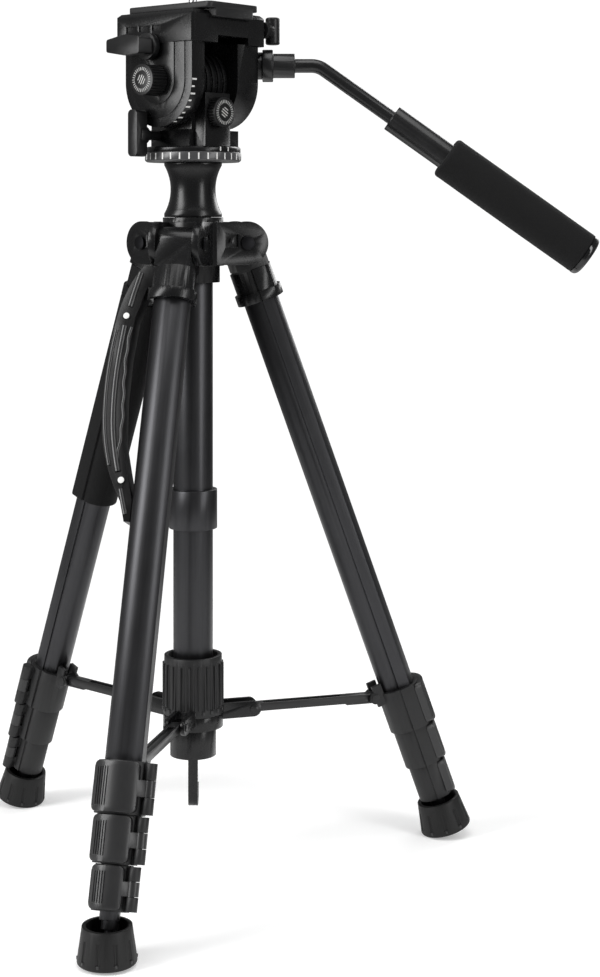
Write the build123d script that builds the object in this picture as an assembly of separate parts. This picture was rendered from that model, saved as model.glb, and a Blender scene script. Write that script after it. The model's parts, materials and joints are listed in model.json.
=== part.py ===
from build123d import *
from math import atan2, cos, degrees, radians, sin
import os

os.makedirs("parts", exist_ok=True)

# clearances, mm
slide_gap = 0.4  # half difference between a section and the one round it
turn_gap = 0.05  # radial play of a pin in its bore
face_gap = 0.3  # side play between pieces that turn past each other
ring_gap = 0.1  # radial play on the centre tube

# legs
azimuths = {"front": -90.0, "right": 30.0, "left": 150.0}
pivot_r = 36.0  # leg pivot to column axis
pivot_z = 448.4  # leg pivot height
lean = 20.08  # degrees off vertical
ball_s = 462.9  # pivot to ball foot centre along the leg
front_draw = 3.36  # how far the front leg's last section stands out
foot_turn = {"front": 0.0, "right": 16.5, "left": 16.5}
tube_w = (25.0, 20.8, 16.6, 12.4)  # section widths, thickest first
tube_d = (26.0, 22.2, 18.4, 14.6)  # section depths
tube_wall = 1.1
tube_top = (20.0, 30.0, 45.0, 60.0)  # start of each section below the pivot
lock_top = (354.0, 387.0, 417.0)
lock_end = (386.8, 416.8, 445.0)
lock_grip = (18.0, 15.0, 15.0)  # depth of each section inside its clamp
lock_wall = 3.2
lever_wall = 3.2
lever_gap = 0.4
lever_x = 7.0  # lever hinge, outward from the leg axis
lever_out = 6.8  # lever hinge beyond the section's side
knuckle_r = 4.0
lever_pin_r = 1.5
tail_end = 447.0  # end of the last section
spindle_r = 5.4
spindle_neck_r = 2.9
ball_r = 5.0

# shoulder
bolt_r = 3.0
knuckle_half = 13.0
bracket_r = 12.0
cheek_t = 5.0
cheek_r = 15.8
boss_r = 22.5
boss_z = (432.0, 463.7)
sleeve_r = 19.5
sleeve_z = 420.0
cap_ring_r = 22.0
cap_ring_z = 467.0
bracket_neck = 20.0
bracket_end = 44.0
bracket_wall = 2.0
flange_start = 36.5
flange_wall = 4.0

# centre tube and column
tube_r = 14.4
tube_bore = 12.9
tube_top_z = 463.0
collar_r = 17.5
collar_z = (241.5, 269.9)
column_r = 12.8
column_bore = 11.2
column_z = (95.0, 468.0)
neck_z = (467.2, 485.5, 507.0)
neck_r = (21.0, 16.4, 21.0)
pan_base_r = 34.9
pan_base_t = 7.0
pan_spindle_r = 8.0

# spreader
lug_x = 20.5  # lug pin inward of the leg axis
lug_s = 355.0  # lug pin below the leg pivot
lug_pin_r = 2.0
hub_pin_r = 44.0  # hub pin to column axis
hub_r = 21.8
hub_low = 10.0  # hub underside below its pins
hub_high = 0.5  # hub top face below its pins
ear_in = 4.6
ear_t = 3.0
arm_half = 4.0
arm_eye_r = 3.4
ring_top_r = 20.9
ring_foot_r = 21.6
ring_h = 42.0
cap_r = 16.75
cap_h = 20.6
cap_floor = 3.0
cap_gap = 0.34  # end cap to hub underside
hook_drop = 32.0

# feet
foot_r = 19.0
foot_rim_r = 15.9
foot_rim_z = 14.3
foot_deep = 10.5
foot_fillet = 1.5
socket_gap = 0.08

# head, in its own frame turned about the column axis
head_turn = -27.64
tilt_z = 564.5
drum_r = 24.0
drum_y = (-22.7, 11.2)
pan_ring_r = 34.5
pan_ring_t = 3.9
shaft_r = 8.0
platform_z = (591.4, 614.0)
platform_x = (-41.2, 36.6)
platform_y = 38.5
cheek_disc_r = 33.0
left_cheek = (-36.0, -23.0)
right_cheek = (12.0, 34.0)
cheek_steps = ((26.4, 0.7), (16.8, 1.5))  # raised pads on the left cheek, radius and height
platform_bevel = 3.2
pocket_y = 20.0
pocket_z = 609.0
plate_x = 41.0
plate_y = 26.3
plate_z = (615.2, 619.9)
screw_r = 3.17
screw_low_r = 3.0  # undercut below the thread
screw_z = (620.2, 625.2)  # thread, clear above the plate

# handle, in the head's frame turned again
handle_turn = 40.3
handle_y = 14.5
handle_z = 578.3
socket_x = (30.0, 50.0)
bend_x = 91.4
bend_drop = 35.4
rod_r = 5.1
grip_r = 16.0
grip_core_r = 9.9
grip_from = 114.7
grip_to = 237.9
handle_end = 243.0

lug_r = pivot_r - lug_x * cos(radians(lean)) + lug_s * sin(radians(lean))
lug_z = pivot_z - lug_x * sin(radians(lean)) - lug_s * cos(radians(lean))
arm_length = lug_r - hub_pin_r
cap_low = lug_z - hub_low - cap_gap - cap_h
tube_z = (cap_low + cap_floor, tube_top_z)
head = Rot(0, 0, head_turn)


def block(x0, x1, y0, y1, z0, z1):
    return Pos((x0 + x1) / 2, (y0 + y1) / 2, (z0 + z1) / 2) * Box(x1 - x0, y1 - y0, z1 - z0)


def rod_z(radius, z0, z1, x=0.0, y=0.0):
    return Pos(x, y, (z0 + z1) / 2) * Cylinder(radius, z1 - z0)


def rod_y(radius, y0, y1, x=0.0, z=0.0):
    return Pos(x, (y0 + y1) / 2, z) * Rot(90, 0, 0) * Cylinder(radius, y1 - y0)


def rod_x(radius, x0, x1, y=0.0, z=0.0):
    return Pos((x0 + x1) / 2, y, z) * Rot(0, 90, 0) * Cylinder(radius, x1 - x0)


def turned(*points):
    return revolve(Plane.XZ * make_face(Polyline(*points, close=True)), Axis.Z)


def down(x0, x1, y0, y1, s0, s1):
    return block(x0, x1, y0, y1, -s1, -s0)


def rod_s(radius, s0, s1, x=0.0, y=0.0):
    return rod_z(radius, -s1, -s0, x, y)


def outline(width, depth):
    side = width / 2
    step = 0.444 * width
    front = 0.24 * depth
    ledge = -0.09 * depth
    back = -0.20 * depth
    edges = [
        ThreePointArc((front, -side), (depth / 2, 0), (front, side)),
        Line((front, side), (ledge, side)),
        Line((ledge, side), (ledge, step)),
        Line((ledge, step), (back, step)),
        ThreePointArc((back, step), (-depth / 2, 0), (back, -step)),
        Line((back, -step), (ledge, -step)),
        Line((ledge, -step), (ledge, -side)),
        Line((ledge, -side), (front, -side)),
    ]
    return Face(Wire(edges))


def bar(width, depth, s0, s1):
    return Pos(0, 0, -s0) * extrude(outline(width, depth), amount=s1 - s0, dir=(0, 0, -1))


def leg_place(azimuth):
    return Rot(0, 0, azimuth) * Pos(pivot_r, 0, pivot_z) * Rot(0, -lean, 0)


def section_bore(n):
    if n == 3:
        return tube_w[n] - 3.4, tube_d[n] - 2.6
    return tube_w[n + 1] + 2 * slide_gap, tube_d[n + 1] + 4 * slide_gap


def section_tube(n):
    end = tail_end if n == 3 else lock_top[n] + lock_grip[n]
    tube = bar(tube_w[n], tube_d[n], tube_top[n], end)
    if n == 3:
        bore = bar(*section_bore(n), tube_top[n], tail_end - 6)
    else:
        bore = bar(*section_bore(n), tube_top[n], end)
    return tube - bore


def last_section():
    shaft = rod_s(spindle_r, tail_end - 2, ball_s - 10.5)
    neck = rod_s(spindle_neck_r, ball_s - 11, ball_s)
    return section_tube(3) + shaft + neck + Pos(0, 0, -ball_s) * Sphere(ball_r)


def bracket():
    w, d = tube_w[0], tube_d[0]
    body = rod_y(bracket_r, -knuckle_half, knuckle_half)
    body += down(-bracket_r, bracket_r, -knuckle_half, knuckle_half, 0, bracket_neck)
    body += bar(w + 2 * bracket_wall, d + 2.5 * bracket_wall, bracket_neck, bracket_end)
    body += bar(w + 2 * flange_wall, d + 2.25 * flange_wall, flange_start, bracket_end)
    body -= bar(w, d, bracket_neck, bracket_end + 1)
    return body - rod_y(bolt_r + turn_gap, -knuckle_half - 1, knuckle_half + 1)


def thirds(n):
    s0, s1 = lock_top[n], lock_end[n]
    third = (s1 - s0) / 3
    return s0, s0 + third, s1 - third, s1


def lock_body(n):
    s0, sa, sb, s1 = thirds(n)
    w, d = tube_w[n], tube_d[n]
    hinge_y = w / 2 + lever_out
    body = bar(w + 2 * lock_wall, d + 2 * lock_wall, s0, s1)
    for a, b in ((s0 + 0.6, sa), (sb, s1 - 0.6)):
        body += rod_s(knuckle_r, a, b, lever_x, hinge_y)
        body += down(3.2, 8.0, w / 2 + 2.1, hinge_y, a, b)
    body -= rod_s(knuckle_r + 0.5, sa, sb, lever_x, hinge_y)
    body += rod_s(lever_pin_r, sa - 1, sb + 1, lever_x, hinge_y)
    body -= bar(w, d, s0 - 1, s0 + lock_grip[n])
    return body - bar(tube_w[n + 1] + 0.6, tube_d[n + 1] + 0.6, s0, s1 + 1)


def lug():
    body = Part()
    for side in (-1, 1):
        y0, y1 = sorted((side * (arm_half + face_gap), side * 7.0))
        body += down(-lug_x - 0.1, -13.4, y0, y1, lug_s - 9, lug_s + 7)
        body += rod_y(4.2, y0, y1, -lug_x, -lug_s)
    body += rod_y(lug_pin_r, -7.0, 7.0, -lug_x, -lug_s)
    return body + rod_y(3.2, 7.0, 7.9, -lug_x, -lug_s) + rod_y(3.2, -7.9, -7.0, -lug_x, -lug_s)


def first_lock():
    keep = bar(tube_w[0], tube_d[0], lug_s - 20, lock_top[0] + lock_grip[0])
    return lock_body(0) + (lug() - keep)


def grip_grooves(width, depth, s0, s1):
    top, front = depth / 2, 0.24 * depth
    centre = (top**2 - front**2 - (width / 2) ** 2) / (2 * (top - front))
    radius = top - centre
    reach = degrees(atan2(width / 2, front - centre))
    cuts = Part()
    for k in range(5):
        turn = radians(-reach * (0.45 + 0.12 * k))
        cuts += rod_s(0.8, s0, s1, centre + (radius + 0.2) * cos(turn), (radius + 0.2) * sin(turn))
    return cuts


def lever(n):
    s0, sa, sb, s1 = thirds(n)
    w, d = tube_w[n], tube_d[n]
    inner = 2 * (lock_wall + lever_gap)
    outer = inner + 2 * lever_wall
    hinge_y = w / 2 + lever_out
    shell = bar(w + outer, d + outer, s0 + 0.6, s1 - 0.9) - bar(w + inner, d + inner, s0, s1)
    shell &= down(2, 60, -60, 0, s0, s1) + down(lever_x, 60, 0, 60, s0, s1)
    for a, b in ((s0, sa + face_gap), (sb - face_gap, s1)):
        shell -= down(-5, 60, hinge_y - knuckle_r - 1.1, hinge_y + 20, a, b)
    shell += rod_s(knuckle_r, sa + face_gap, sb - face_gap, lever_x, hinge_y)
    shell -= rod_s(lever_pin_r + turn_gap, s0, s1, lever_x, hinge_y)
    return shell - grip_grooves(w + outer, d + outer, s0, s1)


def foot():
    low = -foot_deep + foot_fillet
    wall = [
        Polyline((0, -foot_deep), (foot_r - foot_fillet, low)),
        CenterArc((foot_r - foot_fillet, low + foot_fillet), foot_fillet, 270, 90),
        Polyline(
            (foot_r, low + foot_fillet),
            (foot_rim_r, foot_rim_z),
            (foot_rim_r - 2.5, foot_rim_z),
            (foot_rim_r - 3.1, -3.5),
            (7.5, -3.5),
            (7.5, 2.0),
            (0, 2.0),
            (0, -foot_deep),
        ),
    ]
    body = revolve(Plane.XZ * make_face(wall), Axis.Z)
    body -= Sphere(ball_r + socket_gap)
    slope = degrees(atan2(foot_r - foot_rim_r, foot_rim_z - low - foot_fillet))
    for k in range(10):
        body -= Rot(0, 0, 36 * k) * Pos(18.6, 0, 1.5) * Rot(0, -slope, 0) * Cylinder(1.6, 13)
    return body


def ball_of(name):
    reach = ball_s + (front_draw if name == "front" else 0.0)
    radius = pivot_r + reach * sin(radians(lean))
    return radius, pivot_z - reach * cos(radians(lean))


def foot_place(name):
    radius, height = ball_of(name)
    return Rot(0, 0, azimuths[name]) * Pos(radius, 0, height) * Rot(0, -foot_turn[name], 0)


def arm():
    eye = arm_half
    body = block(-arm_length, 0, -arm_half, arm_half, -3.0, 3.0)
    body += block(-22, 0, -arm_half, arm_half, -eye, 3.0)
    body += rod_y(eye, -arm_half, arm_half) + rod_y(arm_eye_r, -arm_half, arm_half, -arm_length)
    body -= block(-arm_length + 9, -26, -2.2, 2.2, 0.8, 5)
    body -= rod_y(lug_pin_r + turn_gap, -arm_half - 1, arm_half + 1)
    return Pos(lug_r, 0, lug_z) * body


def hub():
    top = lug_z - hub_high
    body = rod_z(hub_r, lug_z - hub_low, top)
    keep = rod_z(ring_foot_r + 0.6, top, lug_z + 20)
    for azimuth in azimuths.values():
        for side in (-1, 1):
            y0, y1 = sorted((side * ear_in, side * (ear_in + ear_t)))
            ear = block(16, hub_pin_r, y0, y1, lug_z - 5.5, lug_z + 5.5)
            ear += rod_y(5.5, y0, y1, hub_pin_r, lug_z)
            y0, y1 = sorted((side * (ear_in + ear_t), side * (ear_in + ear_t + 1.0)))
            ear += rod_y(3.0, y0, y1, hub_pin_r, lug_z)
            body += Rot(0, 0, azimuth) * (ear - keep)
    return body - rod_z(tube_r + ring_gap, lug_z - hub_low - 1, lug_z + 20)


def lock_ring():
    z0 = lug_z - hub_high + 0.2
    z1 = z0 + ring_h
    body = turned((0, z0), (ring_foot_r, z0), (ring_foot_r, z0 + 3), (ring_top_r, z1), (0, z1))
    for k in range(20):
        body -= Rot(0, 0, 18 * k) * rod_z(1.5, z0 + 5, z1 - 4, ring_foot_r + 0.5)
    body -= rod_z(18, z1 - 12, z1 + 1)
    return body - rod_z(tube_r + ring_gap, z0 - 1, z1)


def casting():
    body = rod_z(boss_r, *boss_z) + rod_z(sleeve_r, sleeve_z, boss_z[0])
    body += rod_z(cap_ring_r, boss_z[1], cap_ring_z)
    for azimuth in azimuths.values():
        for side in (-1, 1):
            y0, y1 = sorted((side * (knuckle_half + face_gap), side * (knuckle_half + face_gap + cheek_t)))
            cheek = block(8, pivot_r, y0, y1, pivot_z - cheek_r, pivot_z + cheek_r - 0.5)
            cheek += rod_y(cheek_r, y0, y1, pivot_r, pivot_z)
            edge = side * (knuckle_half + face_gap + cheek_t)
            y0, y1 = sorted((edge, edge - side * 2))
            cheek -= block(pivot_r - 16.4, pivot_r - 7, y0, y1, pivot_z - 3, pivot_z + 6.4)
            cheek += rod_y(1.6, y0, y1, pivot_r - 11.7, pivot_z + 1.7)
            body += Rot(0, 0, azimuth) * cheek
        far = knuckle_half + face_gap + cheek_t + 1
        room = rod_y(bracket_r + 1.0, -knuckle_half - face_gap, knuckle_half + face_gap, pivot_r, pivot_z)
        body -= Rot(0, 0, azimuth) * room
        body -= Rot(0, 0, azimuth) * rod_y(bolt_r, -far, far, pivot_r, pivot_z)
    return body - rod_z(tube_r, sleeve_z - 1, cap_ring_z + 1)


def bolts():
    edge = knuckle_half + face_gap + cheek_t
    out = []
    for azimuth in azimuths.values():
        bolt = rod_y(bolt_r, -edge, edge, pivot_r, pivot_z)
        bolt += rod_y(5.0, edge, edge + 2.2, pivot_r, pivot_z)
        bolt += rod_y(5.0, -edge - 2.2, -edge, pivot_r, pivot_z)
        bolt -= Pos(pivot_r, edge + 1.6, pivot_z) * Rot(90, 0, 0) * extrude(RegularPolygon(2.3, 6), 2)
        out.append(Rot(0, 0, azimuth) * bolt)
    return Compound(children=[piece.solid() for piece in out])


def centre_tube():
    tube = rod_z(tube_r, *tube_z) - rod_z(tube_bore, tube_z[0] - 1, tube_z[1] + 1)
    collar = rod_z(collar_r, *collar_z) - rod_z(tube_r, collar_z[0] - 1, collar_z[1] + 1)
    return Compound(children=[tube.solid(), collar.solid()])


def end_cap():
    low = cap_low
    bend = low - hook_drop
    body = rod_z(cap_r, low, low + cap_h) - rod_z(tube_r, tube_z[0], low + cap_h + 1)
    hook = block(-3.5, 3.5, -1.75, 1.75, bend, low + 1)
    curl = Pos(0, 5.25, bend) * Rot(0, 90, 0) * (Cylinder(7, 7) - Cylinder(3.5, 9))
    curl &= block(-4, 4, -2, 13, bend - 8, bend)
    tip = block(-3.5, 3.5, 8.75, 12.25, bend - 0.5, bend + 8)
    return body + Rot(0, 0, head_turn + handle_turn) * (hook + curl + tip)


def column():
    z0, z1, z2 = neck_z
    r0, r1, r2 = neck_r
    face = make_face([
        Line((0, z0), (r0, z0)),
        Line((r0, z0), (r0, z0 + 2.5)),
        ThreePointArc((r0, z0 + 2.5), (r1, z1), (r2, z2 - 2)),
        Line((r2, z2 - 2), (r2, z2)),
        Line((r2, z2), (0, z2)),
        Line((0, z2), (0, z0)),
    ])
    neck = revolve(Plane.XZ * face, Axis.Z)
    tube = rod_z(column_r, *column_z)
    return tube + neck - rod_z(column_bore, column_z[0] - 1, column_z[1] - 4)


def pan_base():
    z0 = neck_z[2]
    z1 = z0 + pan_base_t
    body = turned((0, z0), (pan_base_r - 1.5, z0), (pan_base_r, z0 + 1.2), (pan_base_r, z1), (0, z1))
    return body + rod_z(pan_spindle_r, z1, z1 + 8)


def pan_body():
    z0 = neck_z[2] + pan_base_t + ring_gap
    z1 = z0 + pan_ring_t
    y0, y1 = drum_y
    body = turned((0, z0), (pan_ring_r, z0), (pan_ring_r, z1 - 1), (pan_ring_r - 1, z1), (0, z1))
    body += block(-19, 19, y0 - 1.3, 28, z1, 530)
    body += block(-20, 20, y0, y1, 530, tilt_z)
    body += rod_y(drum_r - 1.4, y0, y1, 0, tilt_z)
    for k in range(6):
        start = y0 + 0.8 + 5.8 * k
        body += rod_y(drum_r, start, start + 3.2, 0, tilt_z)
    panel = block(20, 30, -19, 7, 530, 556) + block(18, 30, -19, 7, z1, 530)
    body += panel - rod_x(3 + turn_gap, 23, 31, -6.5, 542)
    body -= rod_y(shaft_r + turn_gap, y0 - 1, y0 + 4.5, 0, tilt_z)
    body -= rod_y(shaft_r + turn_gap, y1 - 3.4, y1 + 1, 0, tilt_z)
    body -= rod_y(3.5 + turn_gap, y0 - 3, -12, -12, 526)
    return body - rod_z(pan_spindle_r + turn_gap, z0 - 1, z0 + 8.2)


def cradle():
    z0, z1 = platform_z
    body = block(*platform_x, -platform_y, platform_y, z0, z1)
    body = chamfer(body.edges().group_by(Axis.Z)[-1], platform_bevel)
    body = chamfer(body.edges().filter_by(Axis.Z), 2.0)
    body -= block(*platform_x, -12.8, 19.5, z0 - 1, z0 + 5.3)
    for low, high in (left_cheek, right_cheek):
        body += rod_y(cheek_disc_r, low, high, 0, tilt_z)
        body += block(-cheek_disc_r, cheek_disc_r, low, high, tilt_z, z0 + 0.6)
    for radius, proud in cheek_steps:
        body += rod_y(radius, left_cheek[0] - proud, left_cheek[0], 0, tilt_z)
        body += block(-radius, radius, left_cheek[0] - proud, left_cheek[0], tilt_z, z0 + 1)
    body += rod_y(shaft_r, left_cheek[1], drum_y[0] + 4.2, 0, tilt_z)
    body += rod_y(shaft_r, drum_y[1] - 3.2, right_cheek[0], 0, tilt_z)
    body += Rot(0, 0, handle_turn) * rod_x(10, *socket_x, handle_y, handle_z)
    body -= Rot(0, 0, handle_turn) * rod_x(4 + turn_gap, socket_x[0] + 8, 51, handle_y, handle_z)
    body -= block(platform_x[0] - 1, platform_x[1] + 1, -pocket_y, pocket_y, pocket_z, z1 + 1)
    body -= rod_y(2.5 + turn_gap, 29, platform_y + 1, 32.5, 604)
    body -= rod_y(4 + turn_gap, -platform_y - 1, -26, -5, 589)
    body -= rod_y(4 + turn_gap, left_cheek[0] - 2, -30, 0, tilt_z)
    for low in (-30.0, -17.0, -4.0):
        body -= block(low, low + 9, -platform_y - 1, -platform_y + 1.2, 600, 604)
    return body


def qr_plate():
    z0, z1 = plate_z
    plate = block(-plate_x, plate_x, -plate_y, plate_y, z0, z1)
    plate = fillet(plate.edges().filter_by(Axis.Z), 4)
    plate += block(-plate_x, plate_x, -pocket_y + face_gap, pocket_y - face_gap, pocket_z + face_gap, z0)
    plate -= rod_z(8, pocket_z, pocket_z + 4)
    return plate - rod_z(screw_r + 0.08, pocket_z, z1 + 1)


def camera_screw():
    head_z = pocket_z + 0.6
    body = rod_z(7.7, head_z, head_z + 3.2) + rod_z(screw_low_r, head_z, screw_z[0]) + rod_z(screw_r, *screw_z)
    return body - block(-5, 5, -0.8, 0.8, head_z - 1, head_z + 1.2)


def qr_lock_knob():
    y = platform_y
    body = rod_y(6, y + face_gap, y + 8, 32.5, 604) + rod_y(2.5, 30, y + 1, 32.5, 604)
    grip = rod_z(5.3, 594, 614, 32.5, y + 12.3)
    return body + fillet(grip.edges(), 1.5)


def knurled(radius, y0, y1, x, z, count):
    body = rod_y(radius, y0, y1, x, z)
    for k in range(count):
        turn = radians(360 * k / count)
        body -= rod_y(0.7, y0 + 1.5, y1 + 1, x + radius * cos(turn), z + radius * sin(turn))
    return body


def tilt_lock_lever():
    y = -platform_y - face_gap
    body = rod_y(9.5, y - 5, y, -5, 589) + rod_y(4, y - 1, -27, -5, 589)
    paddle = extrude(
        Plane.XZ * make_face(Polyline((1, 583), (1, 595), (-14, 597), (-32, 594), (-32, 585), (-14, 582), close=True)),
        amount=13.2,
    )
    paddle = Pos(0, y - 5 + 0.5, 0) * paddle
    return body + fillet(paddle.edges().filter_by(Axis.Y), 2)


def pan_lock_knob():
    y = -38.0
    body = rod_y(3.5, y - 1, -13, -12, 526) + rod_y(6.5, y - 8, y, -12, 526)
    wing = block(-16.5, -7.5, y - 12, y - 1.5, 510.5, 544)
    wing = fillet(wing.edges().filter_by(Axis.Y), 3.5)
    return body + wing


def tilt_drag_knob():
    y = left_cheek[0] - 1.5 - face_gap
    return knurled(11, y - 15, y, 0, tilt_z, 30) + rod_y(4, y - 1, -31, 0, tilt_z)


def pan_drag_knob():
    body = Rot(0, 0, 90) * knurled(10.8, -37.3, -30 - face_gap, -6.5, 542, 30)
    return body + rod_x(3, 24, 31, -6.5, 542)


def handle_frame():
    return head * Rot(0, 0, handle_turn) * Pos(0, handle_y, handle_z)


def along_grip():
    return Pos(bend_x, 0, 0) * Rot(0, 90 + bend_drop, 0)


def handle_bar():
    x0 = socket_x[1] + 0.2
    body = rod_x(11.9, x0, 58) + rod_x(9, 58, 74) + rod_x(4, socket_x[0] + 9, x0 + 1)
    drop = radians(bend_drop)
    last = (bend_x + 70 * cos(drop), 0, -70 * sin(drop))
    path = FilletPolyline((70, 0, 0), (bend_x, 0, 0), last, radius=16)
    rod = sweep(Plane(origin=(70, 0, 0), z_dir=(1, 0, 0)) * Circle(rod_r), path=path)
    core = rod_z(grip_core_r, 66, grip_to + 2)
    dome = rod_z(grip_r, grip_to, handle_end)
    dome = fillet(dome.edges().group_by(Axis.Z)[-1], 3.5)
    return handle_frame() * (body + rod + along_grip() * (core + dome))


def handle_grip():
    sleeve = rod_z(grip_r, grip_from, grip_to)
    sleeve = fillet(sleeve.edges().group_by(Axis.Z)[0], 2.5)
    return handle_frame() * along_grip() * (sleeve - rod_z(grip_core_r, grip_from - 1, grip_to + 1))


def leg_foam():
    foam = bar(33.4, 34.4, bracket_end + 1, 208)
    return foam - bar(tube_w[0], tube_d[0], bracket_end, 209)


def carry_handle():
    outer = Spline(
        (19, -22), (30, -29), (56, -37.5), (85, -40.5), (115, -41), (145, -38), (168, -30.5), (187, -20.5)
    )
    side = tube_w[0] / 2
    near = side + bracket_wall
    inner = Polyline(
        (187, -20.5), (200, -17), (200, -side), (186, -side), (165, -18.5), (145, -24), (115, -26.5),
        (85, -26.5), (58, -24.5), (45, -20.5), (35, -17.5), (34, -near), (19.5, -near), (19, -22),
    )
    strap = Rot(0, 90, 0) * extrude(make_face([outer, inner]), amount=7, both=True)
    strap &= down(-7, 7, -60, -near, 19, bracket_end + 2) + down(-7, 7, -60, 0, bracket_end + 2, 210)
    strap -= bar(tube_w[0], tube_d[0], 10, 210)
    for s, y in ((56, -30.5), (172, -21.5)):
        strap += rod_x(2.4, -7.8, 7.8, y, -s)
    return strap


def save(shape, name):
    export_step(shape, "parts/" + name + ".step")


for name, azimuth in azimuths.items():
    leg = leg_place(azimuth)
    save(leg * bracket(), "leg_" + name + "_bracket")
    for n in range(3):
        save(leg * section_tube(n), "leg_" + name + "_tube_" + str(n + 1))
        lock = first_lock() if n == 0 else lock_body(n)
        save(leg * lock, "leg_" + name + "_lock_" + str(n + 1))
        save(leg * lever(n), "leg_" + name + "_lever_" + str(n + 1))
    drawn = Pos(0, 0, -front_draw) if name == "front" else Pos(0, 0, 0)
    save(leg * drawn * last_section(), "leg_" + name + "_tube_4")
    save(foot_place(name) * foot(), "leg_" + name + "_foot")
    save(Rot(0, 0, azimuth) * arm(), "arm_" + name)

save(casting(), "shoulder_casting")
save(bolts(), "shoulder_bolts")
save(centre_tube(), "center_tube")
save(end_cap(), "tube_end_cap")
save(hub(), "spreader_hub")
save(lock_ring(), "lock_ring")
save(column(), "center_column")
save(pan_base(), "pan_base")
save(head * pan_body(), "pan_body")
save(head * cradle(), "tilt_cradle")
save(head * qr_plate(), "qr_plate")
save(head * camera_screw(), "camera_screw")
save(head * qr_lock_knob(), "qr_lock_knob")
save(head * tilt_lock_lever(), "tilt_lock_lever")
save(head * pan_lock_knob(), "pan_lock_knob")
save(head * tilt_drag_knob(), "tilt_drag_knob")
save(head * pan_drag_knob(), "pan_drag_knob")
save(handle_bar(), "handle_bar")
save(handle_grip(), "handle_grip")
save(leg_place(azimuths["left"]) * leg_foam(), "leg_foam")
save(leg_place(azimuths["front"]) * carry_handle(), "carry_handle")
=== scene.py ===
import bpy
import bmesh
import json
from math import cos, pi, radians, sin, tau
from mathutils import Matrix, Vector


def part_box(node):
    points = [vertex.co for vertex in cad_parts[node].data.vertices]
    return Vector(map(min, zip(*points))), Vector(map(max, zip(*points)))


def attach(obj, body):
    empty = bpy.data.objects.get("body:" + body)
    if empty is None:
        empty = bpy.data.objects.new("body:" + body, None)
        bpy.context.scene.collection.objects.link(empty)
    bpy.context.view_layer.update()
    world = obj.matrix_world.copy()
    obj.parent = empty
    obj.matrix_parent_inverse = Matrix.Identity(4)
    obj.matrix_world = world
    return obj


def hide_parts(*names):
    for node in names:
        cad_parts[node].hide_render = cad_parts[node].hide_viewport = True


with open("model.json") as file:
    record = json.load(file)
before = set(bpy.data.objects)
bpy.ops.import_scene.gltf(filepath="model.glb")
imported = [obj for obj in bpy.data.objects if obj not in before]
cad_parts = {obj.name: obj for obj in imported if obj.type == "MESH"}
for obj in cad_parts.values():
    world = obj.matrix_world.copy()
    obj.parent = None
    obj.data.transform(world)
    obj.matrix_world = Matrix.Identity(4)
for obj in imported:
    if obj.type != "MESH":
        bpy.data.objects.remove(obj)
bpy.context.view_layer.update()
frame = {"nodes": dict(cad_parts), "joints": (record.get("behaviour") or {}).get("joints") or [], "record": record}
joints = {joint["name"]: joint for joint in frame["joints"]}
nodeBody = {node: body for body, nodes in frame["record"]["behaviour"]["bodies"].items() for node in nodes}
legNames = ("front", "right", "left")
mm = 0.001
print("frame loaded", len(nodeBody), "nodes")


class Sock:
    # one output socket, so that plain expressions add Math nodes
    def __init__(self, tree, socket):
        self.tree = tree
        self.socket = socket

    def maths(self, operation, a, b=None):
        node = self.tree.nodes.new("ShaderNodeMath")
        node.operation = operation
        for place, value in enumerate((a, b)):
            if isinstance(value, Sock):
                self.tree.links.new(value.socket, node.inputs[place])
            elif value is not None:
                node.inputs[place].default_value = value
        return Sock(self.tree, node.outputs[0])

    def __add__(self, other):
        return self.maths("ADD", self, other)

    def __radd__(self, other):
        return self.maths("ADD", other, self)

    def __sub__(self, other):
        return self.maths("SUBTRACT", self, other)

    def __mul__(self, other):
        return self.maths("MULTIPLY", self, other)

    def __rmul__(self, other):
        return self.maths("MULTIPLY", other, self)


class Finish:
    # a material under construction: node() adds any node, with settings first and then its sockets
    def __init__(self, name):
        self.material = bpy.data.materials.new(name)
        self.material.use_nodes = True
        self.tree = self.material.node_tree
        self.tree.nodes.clear()
        self.shader = self.tree.nodes.new("ShaderNodeBsdfPrincipled")
        output = self.tree.nodes.new("ShaderNodeOutputMaterial")
        self.tree.links.new(self.shader.outputs[0], output.inputs[0])
        self.place = self.node("ShaderNodeTexCoord", output="Object")

    def node(self, kind, settings=None, values=None, output=0):
        node = self.tree.nodes.new(kind)
        for name, value in (settings or {}).items():
            if name == "stops":
                for index, (position, shade) in enumerate(value):
                    stops = node.color_ramp.elements
                    stop = stops[index] if index < len(stops) else stops.new(position)
                    stop.position = position
                    stop.color = (shade, shade, shade, 1)
            else:
                setattr(node, name, value)
        for name, value in (values or {}).items():
            if isinstance(value, Sock):
                self.tree.links.new(value.socket, node.inputs[name])
            else:
                node.inputs[name].default_value = value
        return Sock(self.tree, node.outputs[output])

    def scaled(self, scale):
        return self.node("ShaderNodeMapping", values={"Vector": self.place, "Scale": scale})

    def noise(self, scale, detail=3.0, roughness=0.5, vector=None):
        values = {"Vector": vector or self.place, "Scale": scale, "Detail": detail, "Roughness": roughness}
        return self.node("ShaderNodeTexNoise", values=values, output="Fac")

    def blend(self, factor, low, high):
        values = {"Factor": factor, 6: (*low, 1), 7: (*high, 1)}
        return self.node("ShaderNodeMix", {"data_type": "RGBA"}, values, output=2)

    def feed(self, name, value):
        if isinstance(value, Sock):
            self.tree.links.new(value.socket, self.shader.inputs[name])
        else:
            self.shader.inputs[name].default_value = value

    def bump(self, height, strength, distance):
        values = {"Height": height, "Strength": strength, "Distance": distance}
        self.feed("Normal", self.node("ShaderNodeBump", values=values, output="Normal"))


tubeValues = {
    "low": (0.036, 0.036, 0.038), "high": (0.056, 0.056, 0.059), "streak": (900, 900, 25), "cloud": 45.0,
    "grain": 5200.0, "metal": 0.9, "rough": 0.3, "specular": 0.4, "bump": 0.10, "depth": 0.00012,
}


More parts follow.
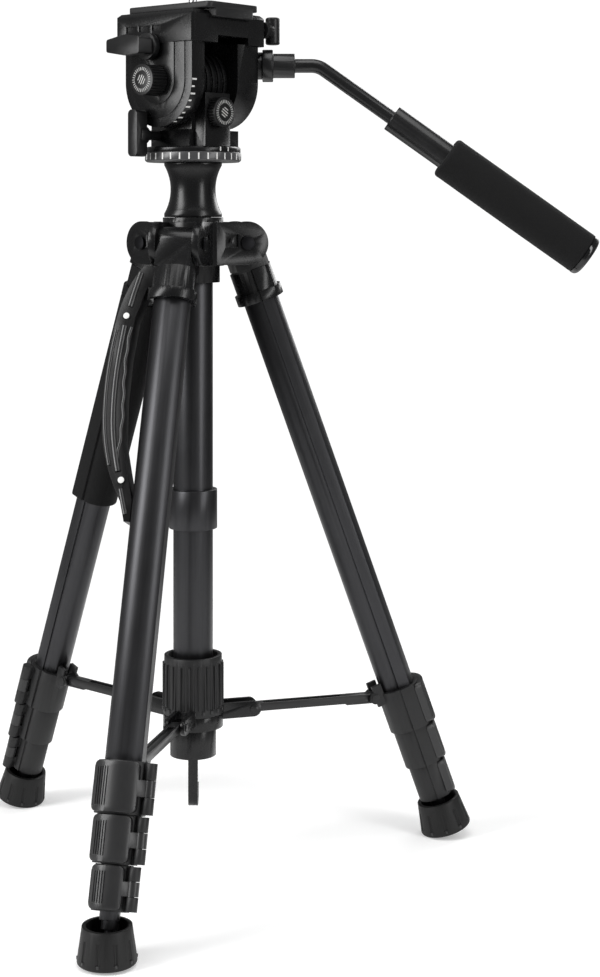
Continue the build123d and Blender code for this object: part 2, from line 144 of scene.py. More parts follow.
def anodisedTube(name, down):
    # the streaks follow the draw direction of the tube, given as its downward axis
    v = tubeValues
    finish = Finish(name)
    turn = down.rotation_difference(Vector((0, 0, -1))).to_euler()
    turned = finish.node("ShaderNodeMapping", values={"Vector": finish.place, "Rotation": tuple(turn)})
    streakPlace = finish.node("ShaderNodeMapping", values={"Vector": turned, "Scale": v["streak"]})
    streak = finish.noise(1.0, 4.0, 0.6, streakPlace)
    cloud = finish.noise(v["cloud"], 2.0)
    grain = finish.noise(v["grain"], 2.0)
    finish.feed("Base Color", finish.blend(streak * 0.6 + cloud * 0.4, v["low"], v["high"]))
    finish.feed("Metallic", v["metal"])
    finish.feed("Roughness", v["rough"] + 0.10 * streak + 0.06 * cloud)
    finish.feed("Specular IOR Level", v["specular"])
    finish.bump(streak * 0.4 + grain * 0.6, v["bump"], v["depth"])
    return finish.material


# red and green, then blue, of the darkest and of the lightest shade,
# then roughness, grain scale, grain depth and specular level
plasticValues = {
    "plasticSatin": (0.003, 0.0032, 0.0065, 0.007, 0.27, 2600.0, 0.00004, 0.34),
    "plasticMatte": (0.005, 0.0053, 0.010, 0.0105, 0.5, 3200.0, 0.0001, 0.4),
    "plasticHead": (0.0028, 0.003, 0.006, 0.0064, 0.27, 3600.0, 0.00005, 0.32),
    "leverPlastic": (0.011, 0.0115, 0.019, 0.0195, 0.36, 2400.0, 0.00005, 0.5),
    "knobPlastic": (0.0035, 0.0037, 0.007, 0.0075, 0.38, 1500.0, 0.00016, 0.36),
    "rubberFoot": (0.0035, 0.0035, 0.0075, 0.0075, 0.52, 1800.0, 0.00012, 0.3),
    "strapRubber": (0.0025, 0.0026, 0.005, 0.0052, 0.34, 2600.0, 0.0001, 0.24),
    "strapGloss": (0.006, 0.0062, 0.011, 0.0114, 0.36, 2600.0, 0.00004, 0.7),
    "barPaint": (0.004, 0.0043, 0.008, 0.0085, 0.3, 1900.0, 0.00004, 0.45),
    "ringPaint": (0.03, 0.031, 0.06, 0.062, 0.34, 1700.0, 0.00005, 0.6),
    "capGloss": (0.003, 0.0033, 0.006, 0.0065, 0.1, 900.0, 0.00001, 0.5),
}
plasticWear = {"cloud": 60.0, "wear": 420.0, "cloudRough": 0.12, "wearRough": 0.08, "polish": 0.1, "bump": 0.35}


def mouldedPlastic(name, lowGrey, lowBlue, highGrey, highBlue, rough, grainScale, grainDepth, gloss):
    v = plasticWear
    finish = Finish(name)
    grain = finish.noise(grainScale, 3.0, 0.6)
    cloud = finish.noise(v["cloud"], 3.0)
    wear = finish.noise(v["wear"], 4.0, 0.7)
    low, high = (lowGrey, lowGrey, lowBlue), (highGrey, highGrey, highBlue)
    finish.feed("Base Color", finish.blend(cloud * 0.7 + wear * 0.3, low, high))
    finish.feed("Roughness", rough + v["cloudRough"] * cloud + v["wearRough"] * wear - v["polish"])
    finish.feed("Specular IOR Level", gloss)
    finish.bump(grain, v["bump"], grainDepth)
    return finish.material


foamValues = {
    "low": (0.003, 0.003, 0.0031), "high": (0.0095, 0.0095, 0.0098), "cells": 1500.0, "cloud": 90.0,
    "rough": 0.86, "specular": 0.2, "sheen": 0.03, "sheenRough": 0.5, "bump": 0.7, "depth": 0.00025,
}


def foamFinish(name):
    v = foamValues
    finish = Finish(name)
    cellValues = {"Vector": finish.place, "Scale": v["cells"], "Randomness": 1.0}
    cells = finish.node("ShaderNodeTexVoronoi", {"feature": "F1"}, cellValues, output="Distance")
    cloud = finish.noise(v["cloud"], 4.0, 0.6)
    finish.feed("Base Color", finish.blend(cloud * 0.6 + cells * 0.5, v["low"], v["high"]))
    finish.feed("Roughness", v["rough"] + 0.1 * cloud)
    finish.feed("Specular IOR Level", v["specular"])
    finish.feed("Sheen Weight", v["sheen"])
    finish.feed("Sheen Roughness", v["sheenRough"])
    finish.bump(cells * 0.7 + cloud * 0.5, v["bump"], v["depth"])
    return finish.material


steelValues = {"brush": (300, 300, 4000), "spots": 500.0, "lift": 1.18, "bump": 0.15, "depth": 0.00006}


def steelFinish(name, shade, rough):
    v = steelValues
    finish = Finish(name)
    brush = finish.noise(1.0, 3.0, 0.5, finish.scaled(v["brush"]))
    spots = finish.noise(v["spots"], 3.0)
    bright = tuple(channel * v["lift"] for channel in shade)
    finish.feed("Base Color", finish.blend(brush * 0.6 + spots * 0.4, shade, bright))
    finish.feed("Metallic", 1.0)
    finish.feed("Roughness", rough + 0.14 * brush)
    finish.bump(brush, v["bump"], v["depth"])
    return finish.material


inkValues = {"low": (0.62, 0.62, 0.61), "high": (0.84, 0.84, 0.82), "grain": 1400.0, "rough": 0.45, "depth": 0.00003}


def printFinish(name):
    v = inkValues
    finish = Finish(name)
    ink = finish.noise(v["grain"], 3.0, 0.6)
    finish.feed("Base Color", finish.blend(ink, v["low"], v["high"]))
    finish.feed("Roughness", v["rough"] + 0.15 * ink)
    finish.bump(ink, 0.2, v["depth"])
    return finish.material


print("materials")
materials = {name: mouldedPlastic(name, *values) for name, values in plasticValues.items()}
materials["foamBlack"] = foamFinish("foamBlack")
materials["boltSteel"] = steelFinish("boltSteel", (0.012, 0.012, 0.013), 0.4)
materials["screwSteel"] = steelFinish("screwSteel", (0.55, 0.55, 0.56), 0.24)
materials["whiteInk"] = printFinish("whiteInk")


def unit(values):
    return Vector(values).normalized()


def basis(origin, x, y, z):
    # the frame with this origin and these three axes
    return Matrix((
        (x.x, y.x, z.x, origin.x),
        (x.y, y.y, z.y, origin.y),
        (x.z, y.z, z.z, origin.z),
        (0, 0, 0, 1),
    ))


def legFrame(name):
    # a leg's pivot, with its outward, sideways and upward axes
    fold = joints["leg_" + name + "_fold"]
    side = unit(fold["axis"])
    up = -unit(joints["leg_" + name + "_draw_2"]["axis"])
    return basis(Vector(fold["pos_m"]), side.cross(up), side, up)


headSide = unit(joints["head_tilt"]["axis"])
headOut = headSide.cross(Vector((0, 0, 1)))
headFrame = basis(Vector((0, 0, 0)), headOut, headSide, Vector((0, 0, 1)))
tiltHeight = joints["head_tilt"]["pos_m"][2]
handleAxis = unit(joints["handle_swing"]["axis"])
handleSide = Vector((0, 0, 1)).cross(handleAxis)
handlePivot = Vector(joints["handle_swing"]["pos_m"])


def keep(piece, body, slotName, *nodes):
    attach(piece, body)
    if nodes:
        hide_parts(*nodes)
    return piece


def pieceFrom(mesh, name, look, body, slotName, *nodes, smooth=35):
    # look is the name of a material; with smooth at 0 the mesh keeps its own shading flags
    mesh.materials.clear()
    mesh.materials.append(materials[look])
    for polygon in mesh.polygons:
        polygon.material_index = 0
    if smooth:
        mesh.shade_smooth()
        mesh.set_sharp_from_angle(angle=radians(smooth))
    piece = bpy.data.objects.new(name, mesh)
    bpy.context.scene.collection.objects.link(piece)
    return keep(piece, body, slotName, *nodes)


def workPiece(name, data):
    piece = bpy.data.objects.new(name + "_work", data)
    bpy.context.scene.collection.objects.link(piece)
    return piece


def plainMesh(piece, name):
    # the evaluated shape as a plain mesh, with the working object and its data removed
    graph = bpy.context.evaluated_depsgraph_get()
    graph.update()
    shape = piece.evaluated_get(graph)
    mesh = bpy.data.meshes.new_from_object(shape, preserve_all_data_layers=True, depsgraph=graph)
    mesh.name = name
    old = piece.data
    bpy.data.objects.remove(piece)
    store = bpy.data.curves if isinstance(old, bpy.types.Curve) else bpy.data.meshes
    if old.users == 0:
        store.remove(old)
    return mesh


mergeValues = {"near": 2e-6, "flat": 0.5}


def mergedCopy(node):
    mesh = frame["nodes"][node].data.copy()
    work = bmesh.new()
    work.from_mesh(mesh)
    bmesh.ops.remove_doubles(work, verts=work.verts, dist=mergeValues["near"])
    flat = radians(mergeValues["flat"])
    bmesh.ops.dissolve_limit(work, angle_limit=flat, verts=work.verts, edges=work.edges)
    for face in work.faces:
        face.smooth = True
    work.to_mesh(mesh)
    work.free()
    return mesh


def rounded(node, look, slotName, width, segments=2):
    # a copy of a node with its sharp edges rounded, width in mm
    piece = workPiece(node, mergedCopy(node))
    bevel = piece.modifiers.new("edges", "BEVEL")
    bevel.width = width * mm
    bevel.segments = segments
    bevel.limit_method = "ANGLE"
    bevel.angle_limit = radians(34)
    bevel.use_clamp_overlap = True
    bevel.miter_outer = "MITER_ARC"
    bevel.harden_normals = True
    mesh = plainMesh(piece, node + "_skin")
    return pieceFrom(mesh, node + "_skin", look, nodeBody[node], slotName, node, smooth=0)


# in mm: the sizes of the three clamps, down the leg for tops and ends, then the plate's reach, gaps and grooves
leverShape = {
    "widths": (25.0, 20.8, 16.6), "depths": (26.0, 22.2, 18.4), "tops": (354.0, 387.0, 417.0),
    "ends": (386.8, 416.8, 445.0), "inside": 7.2, "outside": 13.6, "sideReach": 3.7, "topGap": 0.7, "endGap": 1.0,
    "corner": 3.2, "edge": 0.55, "tab": 0.3, "tabIn": 0.5, "hingeOut": 6.8, "hingeX": 7.0, "knuckle": 4.0,
    "knuckleGap": 1.4, "backX": 4.5, "grooves": 5, "groove": 0.42, "firstGroove": 3.4, "pitch": 1.75, "depth": 0.7,
    "inset": 3.4, "rowStep": 0.6, "cutStep": 1.6, "cuts": 40, "lastCut": 0.7, "snap": 0.05,
}


def arcOf(width, depth):
    # centre and radius of the rounded front of a section this wide and deep
    front = 0.24 * depth
    centre = ((depth / 2) ** 2 - front ** 2 - (width / 2) ** 2) / (2 * (depth / 2 - front))
    return centre, depth / 2 - centre


def plateOutline(left, right, low, high, tabReach, tabLow, tabHigh, corner):
    # a rounded rectangle in the side and down directions, with the hinge tab on its right
    def quarter(y, z, start):
        angles = [radians(start + 18 * k) for k in range(6)]
        return [(y + corner * cos(angle), z + corner * sin(angle)) for angle in angles]

    points = quarter(left + corner, low + corner, 180) + quarter(right - corner, low + corner, 270)
    points += [(right, tabLow), (tabReach, tabLow), (tabReach, tabHigh), (right, tabHigh)]
    return points + quarter(right - corner, high - corner, 0) + quarter(left + corner, high - corner, 90)


def leverPlate(leg, n):
    # a curved plate with rounded corners, finger grooves, a hinge tab and its knuckle
    v = leverShape
    width, depth, top, end = (v[key][n - 1] for key in ("widths", "depths", "tops", "ends"))
    innerArc = arcOf(width + v["inside"], depth + v["inside"])
    outerArc = arcOf(width + v["outside"], depth + v["outside"])
    third = (end - top) / 3
    hingeY = width / 2 + v["hingeOut"]
    left, right = -(width / 2 + v["sideReach"]), hingeY - v["knuckle"] - v["knuckleGap"]
    low, high = top + v["topGap"], end - v["endGap"]
    tabLow, tabHigh = top + third + v["tab"], end - third - v["tab"]
    work = bmesh.new()
    outline = plateOutline(left, right, low, high, hingeY - v["tabIn"], tabLow, tabHigh, v["corner"])
    work.faces.new([work.verts.new((0, y * mm, -z * mm)) for y, z in outline])
    grooveY = [left + v["firstGroove"] + v["pitch"] * k for k in range(v["grooves"])]
    cuts = [y + step for y in grooveY for step in (-v["groove"], 0, v["groove"])]
    further = [left + v["corner"] + v["cutStep"] * k for k in range(v["cuts"])]
    cuts += [y for y in further if y > grooveY[-1] + 1]
    step = v["rowStep"]
    rows = (low + v["inset"], low + v["inset"] + step, high - v["inset"] - step, high - v["inset"])
    planes = [((0, y * mm, 0), (0, 1, 0)) for y in cuts if y < hingeY - v["lastCut"]]
    planes += [((0, 0, -z * mm), (0, 0, 1)) for z in rows]
    for spot, normal in planes:
        everything = work.verts[:] + work.edges[:] + work.faces[:]
        bmesh.ops.bisect_plane(work, geom=everything, plane_co=spot, plane_no=normal, dist=1e-7)
    back = bmesh.ops.extrude_face_region(work, geom=work.faces[:])
    outer = {item for item in back["geom"] if isinstance(item, bmesh.types.BMVert)}
    for vertex in work.verts:
        y, z = vertex.co.y / mm, -vertex.co.z / mm
        centre, radius = outerArc if vertex in outer else innerArc
        x = centre + max(radius ** 2 - y ** 2, 0) ** 0.5
        if vertex not in outer:
            x = max(x, v["backX"])
        elif min(abs(y - spot) for spot in grooveY) < v["snap"] and rows[1] - v["snap"] < z < rows[2] + v["snap"]:
            x -= v["depth"]
        vertex.co.x = x * mm
    outerFaces = {face for face in work.faces if all(vertex in outer for vertex in face.verts)}
    rim = [edge for edge in work.edges if edge.verts[0] in outer and edge.verts[1] in outer
           and any(face not in outerFaces for face in edge.link_faces)]
    bmesh.ops.bevel(work, geom=rim, offset=v["edge"] * mm, segments=2, profile=0.5, affect="EDGES",
                    clamp_overlap=True)
    knuckle = Matrix.Translation((v["hingeX"] * mm, hingeY * mm, -(tabLow + tabHigh) / 2 * mm))
    radius = v["knuckle"] * mm
    bmesh.ops.create_cone(work, cap_ends=True, segments=32, radius1=radius, radius2=radius,
                          depth=(tabHigh - tabLow) * mm, matrix=knuckle)
    bmesh.ops.recalc_face_normals(work, faces=work.faces)
    node = "leg_" + leg + "_lever_" + str(n)
    mesh = bpy.data.meshes.new(node + "_skin")
    work.to_mesh(mesh)
    work.free()
    mesh.transform(legFrame(leg))
    pieceFrom(mesh, node + "_skin", "leverPlastic", nodeBody[node], "lever", node)


print("rounded skins")
edgeWidths = {"bracket": 0.45, "lock": 0.5, "tube": 0.25, "foot": 0.6, "arm": 0.4}
for leg in legNames:
    place = "leg_" + leg
    down = unit(joints[place + "_draw_2"]["axis"])
    materials["tube_" + leg] = anodisedTube("tube_" + leg, down)
    rounded(place + "_bracket", "plasticSatin", "casting", edgeWidths["bracket"])
    rounded(place + "_foot", "rubberFoot", "foot", edgeWidths["foot"])
    rounded("arm_" + leg, "barPaint", "bar", edgeWidths["arm"])
    for n in range(1, 5):
        rounded(place + "_tube_" + str(n), "tube_" + leg, "anodised", edgeWidths["tube"])
    for n in range(1, 4):
        rounded(place + "_lock_" + str(n), "plasticMatte", "clamp", edgeWidths["lock"])
        leverPlate(leg, n)

materials["tube_centre"] = anodisedTube("tube_centre", Vector((0, 0, -1)))
# the material, the slot and the width of the rounded edges in mm
skins = {
    "shoulder_casting": ("plasticSatin", "casting", 0.55), "shoulder_bolts": ("boltSteel", "bolt", 0.4),
    "center_tube": ("tube_centre", "anodised", 0.4), "tube_end_cap": ("plasticSatin", "hub", 0.6),
    "spreader_hub": ("plasticSatin", "hub", 0.4), "lock_ring": ("plasticMatte", "hub", 0.5),
    "center_column": ("plasticSatin", "anodised", 0.5), "pan_base": ("ringPaint", "head", 0.4),
    "pan_body": ("plasticHead", "head", 0.5), "tilt_cradle": ("plasticHead", "head", 0.9),
    "qr_plate": ("plasticMatte", "head", 0.6), "camera_screw": ("screwSteel", "screw", 0.25),
    "qr_lock_knob": ("knobPlastic", "knob", 0.5), "tilt_lock_lever": ("knobPlastic", "knob", 0.8),
    "pan_lock_knob": ("knobPlastic", "knob", 0.7), "tilt_drag_knob": ("knobPlastic", "knob", 0.3),
    "pan_drag_knob": ("knobPlastic", "knob", 0.3), "handle_bar": ("barPaint", "bar", 0.5),
    "carry_handle": ("strapRubber", "strap", 1.6),
}
for node, (look, slotName, width) in skins.items():
    rounded(node, look, slotName, width, 3 if width > 1 else 2)


def newTree(name, inputs):
    tree = bpy.data.node_groups.new(name, "GeometryNodeTree")
    for label, kind in inputs:
        tree.interface.new_socket(name=label, in_out="INPUT", socket_type=kind)
    tree.interface.new_socket(name="Mesh", in_out="OUTPUT", socket_type="NodeSocketGeometry")
    return tree


def addNode(tree, kind, settings=None, values=None):
    node = tree.nodes.new(kind)
    for name, value in (settings or {}).items():
        setattr(node, name, value)
    for name, value in (values or {}).items():
        if isinstance(value, bpy.types.NodeSocket):
            tree.links.new(value, node.inputs[name])
        else:
            node.inputs[name].default_value = value
    return node


def ringTree():
    # small marks or ridges set round a circle in the XY plane
    tree = newTree("marksOnRing", (
        ("Count", "NodeSocketInt"), ("Radius", "NodeSocketFloat"), ("Start", "NodeSocketFloat"),
        ("Step", "NodeSocketFloat"), ("Size", "NodeSocketVector"),
        ("Round", "NodeSocketBool"), ("Material", "NodeSocketMaterial"),
    ))
    given = tree.nodes.new("NodeGroupInput").outputs
    index = tree.nodes.new("GeometryNodeInputIndex").outputs[0]

    def maths(operation, a, b=0.0):
        return addNode(tree, "ShaderNodeMath", {"operation": operation}, {0: a, 1: b}).outputs[0]

    angle = maths("ADD", given["Start"], maths("MULTIPLY", index, given["Step"]))
    x = maths("MULTIPLY", given["Radius"], maths("COSINE", angle))
    y = maths("MULTIPLY", given["Radius"], maths("SINE", angle))
    place = addNode(tree, "ShaderNodeCombineXYZ", values={0: x, 1: y}).outputs[0]
    points = addNode(tree, "GeometryNodePoints", values={"Count": given["Count"], "Position": place}).outputs[0]
    turn = addNode(tree, "ShaderNodeCombineXYZ", values={2: angle}).outputs[0]
    turn = addNode(tree, "FunctionNodeEulerToRotation", values={0: turn}).outputs[0]
    box = addNode(tree, "GeometryNodeMeshCube", values={"Size": given["Size"]}).outputs[0]
    unitDrum = {"Vertices": 10, "Radius": 0.5, "Depth": 1.0}
    drum = addNode(tree, "GeometryNodeMeshCylinder", values=unitDrum).outputs[0]
    drum = addNode(tree, "GeometryNodeTransform", values={"Geometry": drum, "Scale": given["Size"]}).outputs[0]
    shape = addNode(tree, "GeometryNodeSwitch", {"input_type": "GEOMETRY"},
                    {"Switch": given["Round"], "False": box, "True": drum}).outputs[0]
    many = addNode(tree, "GeometryNodeInstanceOnPoints",
                   values={"Points": points, "Instance": shape, "Rotation": turn}).outputs[0]
    real = addNode(tree, "GeometryNodeRealizeInstances", values={"Geometry": many}).outputs[0]
    dress = {"Geometry": real, "Material": given["Material"]}
    dressed = addNode(tree, "GeometryNodeSetMaterial", values=dress).outputs[0]
    tree.links.new(dressed, tree.nodes.new("NodeGroupOutput").inputs[0])
    return tree


marksOnRing = ringTree()


def ring(name, values, place, look, body, slotName):
    # values are the tree's own inputs, lengths in mm and angles in degrees
    holder = workPiece(name, bpy.data.meshes.new(name + "_seed"))
    modifier = holder.modifiers.new("marks", "NODES")
    modifier.node_group = marksOnRing
    plain = {
        "Count": values["count"], "Radius": values["radius"] * mm, "Start": radians(values.get("start", 0)),
        "Step": radians(values["step"]), "Size": [length * mm for length in values["size"]],
        "Round": bool(values.get("round", False)), "Material": materials[look],
    }
    for item in marksOnRing.interface.items_tree:
        if item.item_type == "SOCKET" and item.in_out == "INPUT":
            modifier[item.identifier] = plain[item.name]
    mesh = plainMesh(holder, name)
    mesh.transform(place)
    return pieceFrom(mesh, name, look, body, slotName)


print("scales and grips")
panScale = {"count": 32, "radius": 34.8, "step": 11.25, "size": (0.6, 1.0, 4.6), "middle": 510.9}
ring("pan_scale", panScale, Matrix.Translation((0, 0, panScale["middle"] * mm)), "whiteInk", "column", "head")


def onHead(x, y, z):
    return headFrame @ Matrix.Translation((x * mm, y * mm, z * mm))


def facing(x, y, z, direction):
    # a place on the head whose local Z looks along the head's own x or y axis
    turn = Matrix.Rotation(radians(90), 4, "Y") if direction == "+x" else Matrix.Rotation(radians(90), 4, "X")
    return onHead(x, y, z) @ turn


indexMarks = {"count": 2, "radius": 34.4, "start": -12, "step": 12, "size": (0.5, 0.9, 3.0), "middle": 516.0}
ring("pan_index", indexMarks, onHead(0, 0, indexMarks["middle"]), "whiteInk", "pan", "head")
# side is how far out on the cheek the ticks sit
tiltScales = {
    "long": {"count": 4, "radius": 32.95, "start": 0, "step": -18, "size": (0.4, 1.2, 4.5), "side": -33.4},
    "short": {"count": 4, "radius": 32.95, "start": -9, "step": -18, "size": (0.4, 1.2, 2.8), "side": -34.2},
}
for label, values in tiltScales.items():
    spot = facing(0, values["side"], tiltHeight / mm, "-y")
    ring("tilt_scale_" + label, values, spot, "whiteInk", "tilt", "head")
knobTicks = {
    "count": 30, "radius": 7.7, "step": 12, "size": (2.3, 0.32, 0.4), "tiltSide": -52.8, "panAt": (37.3, -6.5, 542),
}
tiltKnobFace = facing(0, knobTicks["tiltSide"], tiltHeight / mm, "-y")
panKnobFace = facing(*knobTicks["panAt"], "+x")
ring("tilt_drag_marks", knobTicks, tiltKnobFace, "whiteInk", "tilt_drag", "knob")
ring("pan_drag_marks", knobTicks, panKnobFace, "whiteInk", "pan_drag", "knob")
knobStripes = {"lengths": (4.2, 6.6, 6.6, 4.2), "pitch": 1.9, "width": 0.45, "proud": 0.25, "slant": 60}


def stripes(name, place, body):
    # slanted bars across the middle of a knob's face
    k = knobStripes
    work = bmesh.new()
    for index, length in enumerate(k["lengths"]):
        shift = (index - (len(k["lengths"]) - 1) / 2) * k["pitch"] * mm
        bar = Matrix.Rotation(radians(k["slant"]), 4, "Z") @ Matrix.Translation((0, shift, 0))
        bar = bar @ Matrix.Diagonal((length * mm, k["width"] * mm, k["proud"] * 2 * mm, 1))
        bmesh.ops.create_cube(work, size=1.0, matrix=bar)
    mesh = bpy.data.meshes.new(name)
    work.to_mesh(mesh)
    work.free()
    mesh.transform(place)
    pieceFrom(mesh, name, "whiteInk", body, "knob")


stripes("tilt_drag_stripes", tiltKnobFace, "tilt_drag")
stripes("pan_drag_stripes", panKnobFace, "pan_drag")
ringNubs = {"count": 20, "radius": 21.3, "start": 9, "step": 18, "size": (2.2, 1.7, 31), "round": True}
ringStuds = {"count": 20, "radius": 21.6, "start": 0, "step": 18, "size": (2.0, 2.4, 2.4), "round": True, "up": 3.6}
ringLow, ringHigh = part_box("lock_ring")
ringMiddle = (ringLow.z + ringHigh.z) / 2
ring("lock_ring_grip", ringNubs, Matrix.Translation((0, 0, ringMiddle)), "plasticMatte", "lock_ring", "hub")
studPlace = Matrix.Translation((0, 0, ringLow.z + ringStuds["up"] * mm))
ring("lock_ring_studs", ringStuds, studPlace, "leverPlastic", "lock_ring", "hub")


def lathe(name, profile, segments, place):
    # profile is a closed loop of (radius, height) in mm, turned about the local Z axis
    work = bmesh.new()
    rings = []
    for k in range(segments):
        angle = tau * k / segments
        rings.append([work.verts.new((r * mm * cos(angle), r * mm * sin(angle), z * mm)) for r, z in profile])
    for k in range(segments):
        a, b = rings[k], rings[(k + 1) % segments]
        for i in range(len(profile)):
            j = (i + 1) % len(profile)
            work.faces.new((a[i], b[i], b[j], a[j]))
    bmesh.ops.remove_doubles(work, verts=work.verts, dist=1e-7)
    bmesh.ops.recalc_face_normals(work, faces=work.faces)
    mesh = bpy.data.meshes.new(name)
    work.to_mesh(mesh)
    work.free()
    mesh.transform(place)
    return mesh


print("foam")
# from and to lie down the handle from its bend, pivot and bend along the level rod before it, drop is in degrees
gripShape = {
    "outer": 16.0, "core": 9.95, "from": 114.7, "to": 237.7, "round": 3.0, "endRound": 0.4, "swell": 0.12,
    "slack": 0.1, "steps": 40, "drop": 35.4, "bend": 91.4, "pivot": 50.0,
}


def gripPlace():
    # origin at the rod's bend, local Z down the handle
    bend = handlePivot + handleAxis * (gripShape["bend"] - gripShape["pivot"]) * mm
    slope = radians(gripShape["drop"])
    along = handleAxis * cos(slope) - Vector((0, 0, 1)) * sin(slope)
    return basis(bend, handleSide.cross(along), handleSide, along)


def foamGrip():
    g = gripShape
    profile = [(g["core"], g["from"])]
    for k in range(7):
        turn = pi / 2 * k / 6
        profile.append((g["outer"] - g["round"] * (1 - sin(turn)), g["from"] + g["round"] * (1 - cos(turn))))
    straight = g["to"] - g["from"] - 2 * g["round"]
    for k in range(1, g["steps"]):
        share = k / g["steps"]
        swell = g["swell"] * sin(share * pi) - g["slack"]
        profile.append((g["outer"] + swell, g["from"] + g["round"] + straight * share))
    end = g["round"] * g["endRound"]
    for k in range(7):
        turn = pi / 2 * (1 - k / 6)
        profile.append((g["outer"] - end * (1 - sin(turn)), g["to"] - end * (1 - cos(turn))))
    profile.append((g["core"], g["to"]))
    mesh = lathe("handle_foam", profile, 72, gripPlace())
    grip = pieceFrom(mesh, "handle_foam", "foamBlack", "handle", "foam", "handle_grip", smooth=60)


foamGrip()
legFoam = rounded("leg_foam", "foamBlack", "foam", 2.2, 4)
capShape = {"radius": 16.0, "from": 237.95, "to": 243.0, "round": 3.6, "proud": 0.05, "crown": 0.35}


def glossyCap():
    c = capShape
    rim = c["radius"] + c["proud"]
    profile = [(0, c["from"]), (rim, c["from"]), (rim, c["to"] - c["round"])]
    for k in range(1, 9):
        turn = pi / 2 * k / 8
        height = c["to"] - c["round"] * (1 - sin(turn)) + c["proud"]
        profile.append((c["radius"] - c["round"] * (1 - cos(turn)), height))
    profile.append((0, c["to"] + c["crown"]))
    mesh = lathe("handle_end_cap", profile, 72, gripPlace())
    pieceFrom(mesh, "handle_end_cap", "capGloss", "handle", "bar", smooth=40)


glossyCap()

print("rivets and marks")
# spots are measured down the leg and sideways
rivet = {
    "radius": 2.2, "proud": 0.35, "sunk": 0.6, "height": 8.0,
    "spots": {"upper": (56, -30.5), "lower": (172, -21.5)},
}


def rivetDot(name, place, body):
    r, p, s = rivet["radius"], rivet["proud"], rivet["sunk"]
    profile = [(0, -s), (r, -s), (r, p * 0.4), (r * 0.7, p), (0, p)]
    mesh = lathe(name, profile, 24, place)
    pieceFrom(mesh, name, "whiteInk", body, "strap", smooth=60)


frontLeg = legFrame("front")
for label, (down, side) in rivet["spots"].items():
    spot = frontLeg @ Matrix.Translation((rivet["height"] * mm, side * mm, -down * mm))
    rivetDot("strap_rivet_" + label, spot @ Matrix.Rotation(radians(90), 4, "Y"), "leg_front")

wavyRim = {"from": 64, "step": 4, "points": 25, "side": -26.6, "bow": 1.2, "span": 12, "ripple": 0.55}


def wavyPoint(k):
    w = wavyRim
    side = w["side"] - w["bow"] * sin(pi * k / w["span"]) + w["ripple"] * cos(k * pi / 2)
    return w["from"] + w["step"] * k, side


# radius, height above the leg's axis, and points as (down the leg, sideways)
strapLines = {
    "outerRim": (1.6, 6.4, ((66, -36.9), (85, -39.3), (115, -39.8), (145, -36.8), (162, -31.4))),
    "middleRib": (2.3, 6.4, ((63, -31.2), (85, -33.4), (115, -33.8), (145, -31.0), (166, -24.8))),
    "innerRim": (1.3, 6.5, tuple(wavyPoint(k) for k in range(wavyRim["points"]))),
    "upperLink": (2.4, 6.2, ((24, -23.5), (36, -26.5), (49, -29.0))),
    "lowerLink": (2.0, 6.2, ((178, -21.5), (186, -19.2), (195, -16.4))),
}


def strapRelief(name, radius, height, points):
    # a rounded rib laid along the face of the carrying handle
    curve = bpy.data.curves.new(name + "_path", "CURVE")
    curve.dimensions = "3D"
    curve.bevel_depth = radius * mm
    curve.bevel_resolution = 3
    curve.resolution_u = 8
    curve.use_fill_caps = True
    spline = curve.splines.new("NURBS")
    spline.points.add(len(points) - 1)
    spline.use_endpoint_u = True
    spline.order_u = 3
    for point, (down, side) in zip(spline.points, points):
        point.co = (*(frontLeg @ Vector((height * mm, side * mm, -down * mm))), 1)
    mesh = plainMesh(workPiece(name, curve), name)
    pieceFrom(mesh, name, "strapGloss", "leg_front", "strap", smooth=60)


for label, (radius, height, points) in strapLines.items():
    strapRelief("strap_" + label, radius, height, points)

footStuds = {
    "count": 10, "radius": 18.3, "start": 0, "step": 36, "size": (1.9, 1.9, 2.0), "round": True, "below": 5.6,
    "turns": {"front": 0.0, "right": -16.5, "left": -16.5},
}
for leg in legNames:
    pin = joints["leg_" + leg + "_foot_tilt"]
    side = unit(pin["axis"])
    centre = Vector(pin["pos_m"])
    outward = Vector((side.y, -side.x, 0))
    turn = radians(footStuds["turns"][leg])
    spot = Matrix.Translation(centre) @ basis(Vector((0, 0, 0)), outward, side, Vector((0, 0, 1)))
    spot = spot @ Matrix.Rotation(turn, 4, "Y") @ Matrix.Translation((0, 0, -footStuds["below"] * mm))
    ring("foot_studs_" + leg, footStuds, spot, "leverPlastic", "foot_" + leg, "foot")

print("stage, light and camera")
floorShape = {"reach": 2.4, "shade": (0.80, 0.84), "cloud": 3.0, "lift": 0.3, "near": 0.45, "far": 1.15}


def stageFloor():
    # pale paper that thins out away from the stand, so that it meets the backdrop without a line
    f = floorShape
    size = f["reach"]
    mesh = bpy.data.meshes.new("floor")
    mesh.from_pydata([(-size, -size, 0), (size, -size, 0), (size, size, 0), (-size, size, 0)], [], [(0, 1, 2, 3)])
    finish = Finish("floorPaper")
    cloud = finish.noise(f["cloud"], 3.0)
    low, high = ((shade,) * 3 for shade in f["shade"])
    finish.feed("Base Color", finish.blend(cloud, low, high))
    distance = finish.node("ShaderNodeVectorMath", {"operation": "LENGTH"}, {0: finish.place}, output="Value")
    spread = {"Value": distance, "From Min": f["near"], "From Max": f["far"], "To Min": 1.0, "To Max": 0.0}
    finish.feed("Alpha", finish.node("ShaderNodeMapRange", {"interpolation_type": "SMOOTHSTEP"}, spread))
    finish.feed("Emission Color", (f["lift"], f["lift"], f["lift"], 1))
    finish.feed("Emission Strength", 1.0)
    finish.feed("Roughness", 0.9)
    finish.feed("Specular IOR Level", 0.1)
    mesh.materials.append(finish.material)
    floor = bpy.data.objects.new("floor", mesh)
    bpy.context.scene.collection.objects.link(floor)


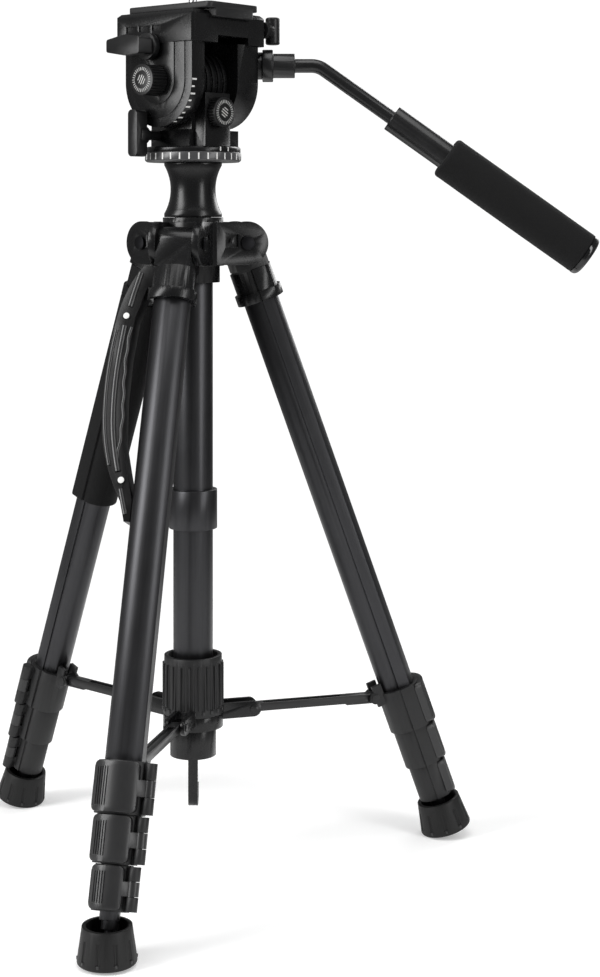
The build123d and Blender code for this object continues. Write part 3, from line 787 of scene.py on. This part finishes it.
# position in m, width and height in m, power in W
lamps = {
    "keyLight": ((-1.5, -1.3, 1.2), 0.9, 1.6, 44.0),
    "fillLight": ((1.7, -0.9, 0.9), 0.5, 1.8, 18.0),
    "topLight": ((0.1, -0.3, 1.9), 1.2, 1.2, 14.0),
    "rimLight": ((0.6, 1.6, 1.1), 1.0, 1.0, 12.0),
}
skyValues = {"target": (0.03, 0, 0.32), "sky": 0.2, "backdrop": 1.05}


def softLight(name, position, wide, tall, power):
    light = bpy.data.lights.new(name, "AREA")
    light.shape = "RECTANGLE"
    light.size = wide
    light.size_y = tall
    light.energy = power
    lamp = bpy.data.objects.new(name, light)
    bpy.context.scene.collection.objects.link(lamp)
    lamp.location = position
    aim = Vector(skyValues["target"]) - Vector(position)
    lamp.rotation_euler = aim.to_track_quat("-Z", "Y").to_euler()


def studio():
    # the world lights the object softly, and shows as plain white behind it
    for name, values in lamps.items():
        softLight(name, *values)
    world = bpy.data.worlds.new("studioSky")
    world.use_nodes = True
    tree = world.node_tree
    shade = tree.nodes["Background"]
    shade.inputs["Color"].default_value = (1, 1, 1, 1)
    path = tree.nodes.new("ShaderNodeLightPath")
    strength = tree.nodes.new("ShaderNodeMapRange")
    strength.inputs["To Min"].default_value = skyValues["sky"]
    strength.inputs["To Max"].default_value = skyValues["backdrop"]
    tree.links.new(path.outputs["Is Camera Ray"], strength.inputs["Value"])
    tree.links.new(strength.outputs[0], shade.inputs["Strength"])
    bpy.context.scene.world = world
    bpy.context.scene.view_settings.view_transform = "Standard"


viewPoint = {"position": (0.3768, -1.3226, 0.4706), "turn": 12.66, "lens": 69.56, "shift": -0.2825}


def addCamera():
    lens = bpy.data.cameras.new("camera")
    lens.sensor_width = 36.0
    lens.lens = viewPoint["lens"]
    lens.shift_y = viewPoint["shift"]
    lens.dof.use_dof = False
    camera = bpy.data.objects.new("camera", lens)
    bpy.context.scene.collection.objects.link(camera)
    camera.location = viewPoint["position"]
    camera.rotation_euler = (radians(90), 0, radians(viewPoint["turn"]))
    bpy.context.scene.camera = camera


stageFloor()
studio()
addCamera()

bpy.context.view_layer.update()
